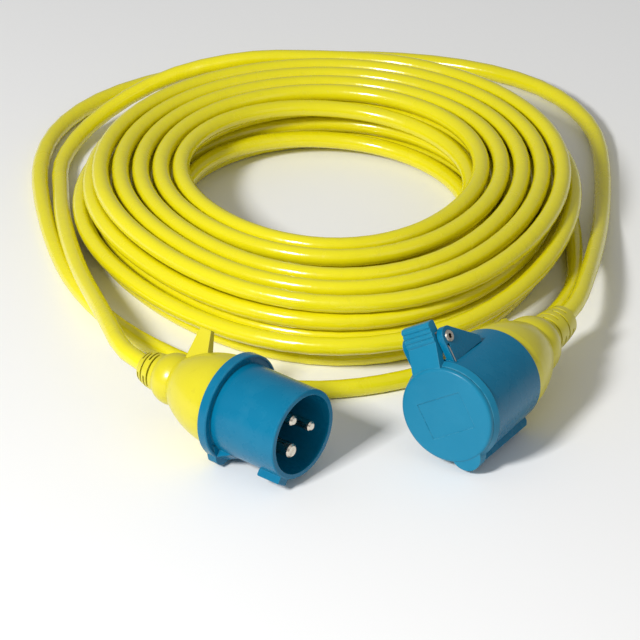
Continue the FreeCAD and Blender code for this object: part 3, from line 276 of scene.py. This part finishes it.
class Finish:
    """A material while its nodes are laid out."""

    def __init__(self, name):
        self.material = bpy.data.materials.new(name)
        self.material.use_nodes = True
        self.tree = self.material.node_tree
        self.tree.nodes.clear()
        self.place = self.node("ShaderNodeTexCoord", {}, {}, "Object")

    def node(self, kind, settings, sockets, output=0):
        """Adds a node: its settings first, then the values or links of its sockets, by name or number."""
        made = self.tree.nodes.new(kind)
        for name, value in settings.items():
            setattr(made, name, value)
        for name, value in sockets.items():
            if isinstance(value, Shade):
                self.tree.links.new(value.socket, made.inputs[name])
            else:
                made.inputs[name].default_value = value
        return Shade(self.tree, made.outputs[output]) if made.outputs else None

    def noise(self, size, detail=3.0, roughness=0.5, place=None):
        """Noise whose blotches are about that many metres across."""
        return self.node("ShaderNodeTexNoise", {}, {
            "Vector": place or self.place,
            "Scale": 1.0 / size,
            "Detail": detail,
            "Roughness": roughness,
        })

    def band(self, value, low, high):
        """Nought below low, one above high."""
        sockets = {"Value": value, "From Min": low, "From Max": high}
        return self.node("ShaderNodeMapRange", {"interpolation_type": "SMOOTHSTEP"}, sockets)

    def blend(self, factor, first, second):
        """Mixes two colours: the Mix node's colours are its inputs 6 and 7 and its output 2."""
        return self.node("ShaderNodeMix", {"data_type": "RGBA"}, {0: factor, 6: first, 7: second}, 2)

    def dot(self, first, second):
        """Dot product of two vectors, which is the Vector Math node's output 1."""
        return self.node("ShaderNodeVectorMath", {"operation": "DOT_PRODUCT"}, {0: first, 1: second}, 1)

    def along(self, frame_of, axis):
        """Distance along one axis of a fitting, measured from the middle of its mouth."""
        direction = frame_of.to_3x3().col[axis]
        start = direction.dot(frame_of.translation)
        return self.dot(self.place, direction) - start

    def rim(self, radius):
        """Normals that round every sharp edge by that radius."""
        return self.node("ShaderNodeBevel", {"samples": EDGE_SAMPLES}, {"Radius": radius})

    def edges(self, radius):
        """Nought on flat faces, and up to a third within that distance of a sharp edge."""
        plain = self.node("ShaderNodeNewGeometry", {}, {}, "Normal")
        return 1.0 - self.dot(self.rim(radius), plain)

    def bump(self, height, strength, distance, normal=None):
        """Normals of a relief that tall, laid over the given ones or the mesh's own."""
        sockets = {"Height": height, "Strength": strength, "Distance": distance}
        if normal is not None:
            sockets["Normal"] = normal
        return self.node("ShaderNodeBump", {}, sockets)

    def close(self, **sockets):
        """Ends the material in one Principled shader. An underscore stands for a socket name's blank."""
        named = {name.replace("_", " "): value for name, value in sockets.items()}
        shader = self.node("ShaderNodeBsdfPrincipled", {}, named)
        self.node("ShaderNodeOutputMaterial", {}, {"Surface": shader})
        return self.material


def colour(red, green, blue):
    """A colour given as it shows on a screen, from 0 to 255, as the shader's own linear numbers."""
    linear = []
    for part in (red, green, blue):
        part /= 255
        linear.append(part / 12.92 if part <= 0.04045 else ((part + 0.055) / 1.055) ** 2.4)
    return (*linear, 1.0)


# Finishes

LATHE_RINGS = 21000.0
STRIPE_ALONG = 500.0
STRIPE_ACROSS = 900.0
GLOW_DEPTH = (0.004, 0.003, 0.0006)


def edge_wear(finish, radius, amount):
    """Nought on flat faces and up to that amount where an edge is rubbed."""
    rubbed = finish.band(finish.edges(radius), 0.02, 0.2)
    return rubbed * finish.band(finish.noise(0.004, 4.0), 0.35, 0.6) * amount


def sheath_finish():
    """Glossy yellow cable sheath: slightly uneven, with dull rubbed patches and fine grime."""
    finish = Finish("cable_sheath")
    tone = finish.noise(0.05, 2.0)
    grime = finish.band(finish.noise(0.006, 6.0, 0.65), 0.58, 0.78)
    base = finish.blend(tone, colour(222, 211, 8), colour(234, 223, 20))
    base = finish.blend(grime * 0.16, base, colour(150, 136, 20))
    rubbed = finish.band(finish.noise(0.018, 4.0), 0.5, 0.72)
    swell = finish.noise(0.007, 2.0) + finish.noise(0.0012, 2.0) * 0.12
    return finish.close(
        Base_Color=base,
        Roughness=0.2 + rubbed * 0.16 + grime * 0.15,
        Normal=finish.bump(swell, 0.5, 0.0005),
        IOR=1.5,
        Coat_Weight=0.35,
        Coat_Roughness=0.12,
        Subsurface_Weight=0.06,
        Subsurface_Radius=GLOW_DEPTH,
        Subsurface_Scale=1.0,
    )


def back_finish():
    """Yellow moulded back: glossy soft plastic with flow marks and a little dirt in it."""
    finish = Finish("yellow_back")
    tone = finish.noise(0.02, 3.0)
    dirt = finish.band(finish.noise(0.004, 6.0, 0.6), 0.56, 0.8)
    base = finish.blend(tone, colour(204, 193, 18), colour(216, 205, 36))
    base = finish.blend(dirt * 0.14, base, colour(140, 124, 26))
    grain = finish.noise(0.0009, 3.0) * 0.25 + finish.noise(0.008, 2.0)
    return finish.close(
        Base_Color=base,
        Roughness=0.27 + dirt * 0.2 + tone * 0.06,
        Normal=finish.bump(grain, 0.35, 0.0004, finish.rim(0.0005)),
        IOR=1.5,
        Coat_Weight=0.25,
        Coat_Roughness=0.18,
        Subsurface_Weight=0.05,
        Subsurface_Radius=GLOW_DEPTH,
        Subsurface_Scale=1.0,
    )


def blue_finish(name, dark, light, gloss):
    """Blue moulded plastic: fine grain, paler rubbed edges and faint scratches."""
    finish = Finish(name)
    tone = finish.noise(0.03, 3.0)
    worn = edge_wear(finish, 0.0007, 0.5)
    haze = finish.band(finish.noise(0.012, 5.0, 0.6), 0.45, 0.75)
    stretched = finish.node("ShaderNodeMapping", {}, {
        "Vector": finish.place,
        "Rotation": (0.4, 0.7, 0.9),
        "Scale": (1.0, 14.0, 14.0),
    })
    scratch = finish.band(finish.noise(0.02, 8.0, 0.7, stretched), 0.66, 0.72)
    base = finish.blend(tone, dark, light)
    base = finish.blend(haze * 0.06, base, colour(80, 160, 186))
    base = finish.blend(worn, base, colour(84, 164, 190))
    grain = finish.noise(0.0007, 2.0) * 0.5 + finish.noise(0.006, 2.0) * 0.5 - scratch * 0.25
    return finish.close(
        Base_Color=base,
        Roughness=gloss + haze * 0.12 + scratch * 0.1,
        Normal=finish.bump(grain, 0.25, 0.0003, finish.rim(0.0004)),
        Specular_IOR_Level=0.2,
        Coat_Weight=0.08,
        Coat_Roughness=0.2,
    )


def carrier_finish(name, dark, light):
    """Dark insulating plastic with a matt moulded face; the plug's carrier is made darker still as painted
    shade.
    """
    finish = Finish(name)
    tone = finish.noise(0.01, 3.0)
    dust = finish.band(finish.noise(0.003, 6.0, 0.65), 0.55, 0.8)
    base = finish.blend(tone, dark, light)
    base = finish.blend(dust * 0.12, base, colour(80, 96, 102))
    return finish.close(
        Base_Color=base,
        Roughness=0.5 + dust * 0.2,
        Normal=finish.bump(finish.noise(0.0008, 3.0), 0.3, 0.0003, finish.rim(0.0003)),
        Specular_IOR_Level=0.3,
    )


def plated_finish(name, pale, dull, frame_of, roughness):
    """Plated metal turned on a lathe: fine rings along its length, duller where it rubs."""
    finish = Finish(name)
    rings = (finish.along(frame_of, 0) * LATHE_RINGS).sine()
    tarnish = finish.band(finish.noise(0.003, 5.0, 0.6), 0.45, 0.75)
    base = finish.blend(tarnish * 0.6, pale, dull)
    return finish.close(
        Base_Color=base,
        Metallic=1.0,
        Roughness=roughness + tarnish * 0.18,
        Normal=finish.bump(rings * 0.5 + finish.noise(0.0006, 3.0), 0.15, 0.0001, finish.rim(0.0002)),
    )


def spring_finish():
    """Drawn spring wire."""
    finish = Finish("spring_wire")
    stain = finish.band(finish.noise(0.002, 5.0, 0.6), 0.5, 0.8)
    base = finish.blend(stain * 0.7, colour(186, 184, 180), colour(112, 104, 92))
    return finish.close(
        Base_Color=base,
        Metallic=1.0,
        Roughness=0.28 + stain * 0.22,
        Normal=finish.bump(finish.noise(0.0005, 3.0), 0.2, 0.0001),
    )


def gasket_finish():
    """Matt black sealing rubber."""
    finish = Finish("gasket_rubber")
    bloom = finish.band(finish.noise(0.004, 5.0, 0.6), 0.45, 0.8)
    base = finish.blend(bloom * 0.35, colour(20, 20, 21), colour(62, 62, 62))
    return finish.close(
        Base_Color=base,
        Roughness=0.7 + bloom * 0.15,
        Normal=finish.bump(finish.noise(0.0006, 3.0), 0.3, 0.0002),
    )


def core_finish(name, plain, stripe, frame_of):
    """Wire insulation, with a stripe that winds along it. Where both colours are one, no stripe shows."""
    finish = Finish(name)
    winding = (finish.along(frame_of, 0) * STRIPE_ALONG + finish.along(frame_of, 2) * STRIPE_ACROSS).sine()
    base = finish.blend(finish.band(winding, -0.1, 0.1), plain, stripe)
    return finish.close(
        Base_Color=base,
        Roughness=0.35 + finish.noise(0.004, 3.0) * 0.15,
        Normal=finish.bump(finish.noise(0.001, 2.0), 0.2, 0.0002),
    )


# The insulation of each pole's core: its plain colour and its stripe's
BROWN = colour(92, 52, 26)
WIRE_BLUE = colour(30, 92, 170)
POLES = {
    "live": (BROWN, BROWN),
    "neutral": (WIRE_BLUE, WIRE_BLUE),
    "earth": (colour(46, 140, 52), colour(226, 206, 40)),
}


def dress(node, material):
    """Gives one CAD node its finish."""
    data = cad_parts[node].data
    data.materials.clear()
    data.materials.append(material)


def dress_plastics():
    """The two fittings' mouldings, the connector's lid and its gasket."""
    # One blue plastic in two copies: the shroud and housing blue is darker as painted shade, the lid's
    # blue is lighter as painted light.
    fitting_blue_painted_shade = blue_finish("shroud_blue_painted_shade", colour(0, 102, 138), colour(3, 114, 150), 0.26)
    lid_blue_painted_light = blue_finish("lid_blue_painted_light", colour(16, 116, 150), colour(26, 127, 161), 0.33)
    back = back_finish()
    dress("plug_shroud", fitting_blue_painted_shade)
    dress("connector_housing", fitting_blue_painted_shade)
    dress("lid", lid_blue_painted_light)
    dress("plug_overmould", back)
    dress("connector_overmould", back)
    # The plug's carrier is near black: partly dark plastic, partly painted shade deep inside the shroud.
    dress("plug_contact_carrier", carrier_finish("plug_carrier_dark_and_painted_shade", colour(6, 16, 24), colour(10, 24, 34)))
    boss = carrier_finish("connector_carrier", colour(0, 52, 74), colour(4, 64, 88))
    dress("connector_contact_cover", boss)
    dress("connector_contact_carrier", boss)
    dress("lid_gasket", gasket_finish())


def dress_metal():
    """Pins, sleeves, the hinge's rivet and the springs."""
    pins = plated_finish("plug_pin_nickel", colour(226, 216, 200), colour(168, 156, 138), PLUG, 0.2)
    sleeves = plated_finish("sleeve_nickel", colour(220, 212, 198), colour(160, 150, 134), CONNECTOR, 0.26)
    rivet = plated_finish("rivet_zinc", colour(214, 206, 192), colour(142, 134, 120), CONNECTOR, 0.3)
    spring = spring_finish()
    for pole in POLES:
        dress(f"plug_pin_{pole}", pins)
        dress(f"connector_sleeve_{pole}", sleeves)
    dress("hinge_pin", rivet)
    dress("sleeve_springs", spring)
    dress("hinge_spring", spring)


def dress_cores():
    """The insulated cores behind the contacts, in the colours of their poles."""
    for pole, (plain, stripe) in POLES.items():
        for fitting_name, place in (("plug", PLUG), ("connector", CONNECTOR)):
            core = f"{fitting_name}_core_{pole}"
            dress(core, core_finish(f"{core}_finish", plain, stripe, place))


# Floor and light

FLOOR_REACH = 9.0
WHITE = (1.0, 1.0, 1.0, 1.0)
SKY_STRENGTH = 0.33
LAMP_AIM = (0.0, 0.08, 0.02)


def floor_finish():
    """Pale floor that keeps the shadows."""
    finish = Finish("pale_floor")
    tone = finish.noise(0.4, 3.0)
    base = finish.blend(tone, (0.91, 0.91, 0.905, 1.0), (0.94, 0.94, 0.935, 1.0))
    return finish.close(
        Base_Color=base,
        Roughness=0.75 + tone * 0.1,
        Normal=finish.bump(finish.noise(0.002, 2.0), 0.04, 0.0002),
        Specular_IOR_Level=0.2,
    )


def make_floor():
    """A flat floor that runs out of sight on all sides."""
    corners = [
        (-FLOOR_REACH, -FLOOR_REACH, 0),
        (FLOOR_REACH, -FLOOR_REACH, 0),
        (FLOOR_REACH, FLOOR_REACH, 0),
        (-FLOOR_REACH, FLOOR_REACH, 0),
    ]
    data = bpy.data.meshes.new("floor")
    data.from_pydata(corners, [], [(0, 1, 2, 3)])
    data.materials.append(floor_finish())
    floor = bpy.data.objects.new("floor", data)
    bpy.context.collection.objects.link(floor)


def make_lamp(name, place, size, power):
    """A soft square lamp, so wide, turned to the object."""
    data = bpy.data.lights.new(name, "AREA")
    data.size = size
    data.energy = power
    lamp = bpy.data.objects.new(name, data)
    lamp.location = place
    lamp.rotation_euler = (Vector(LAMP_AIM) - Vector(place)).to_track_quat("-Z", "Y").to_euler()
    bpy.context.collection.objects.link(lamp)


def make_lights():
    """One key lamp on the left in front, a weak fill, and an even pale sky."""
    make_lamp("key_lamp", place=(-0.95, -1.05, 1.15), size=0.3, power=32.0)
    make_lamp("fill_lamp", place=(1.2, -1.0, 0.9), size=1.2, power=2.0)
    world = bpy.data.worlds.new("sky")
    world.use_nodes = True
    sky = world.node_tree.nodes["Background"]
    sky.inputs["Color"].default_value = WHITE
    sky.inputs["Strength"].default_value = SKY_STRENGTH
    bpy.context.scene.world = world


def lay_cable():
    """The cable in its sheath, in place of the three plainer CAD nodes."""
    cable = make_cable()
    cable.data.materials.append(sheath_finish())
    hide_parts("cable_coil", "cable_plug_run", "cable_connector_run")
    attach(cable, "cord")


def main():
    """Camera and cable first, then the finishes, the floor and the light."""
    bpy.context.scene.view_settings.view_transform = "Standard"
    make_camera()
    lay_cable()
    dress_plastics()
    dress_metal()
    dress_cores()
    make_floor()
    make_lights()


main()
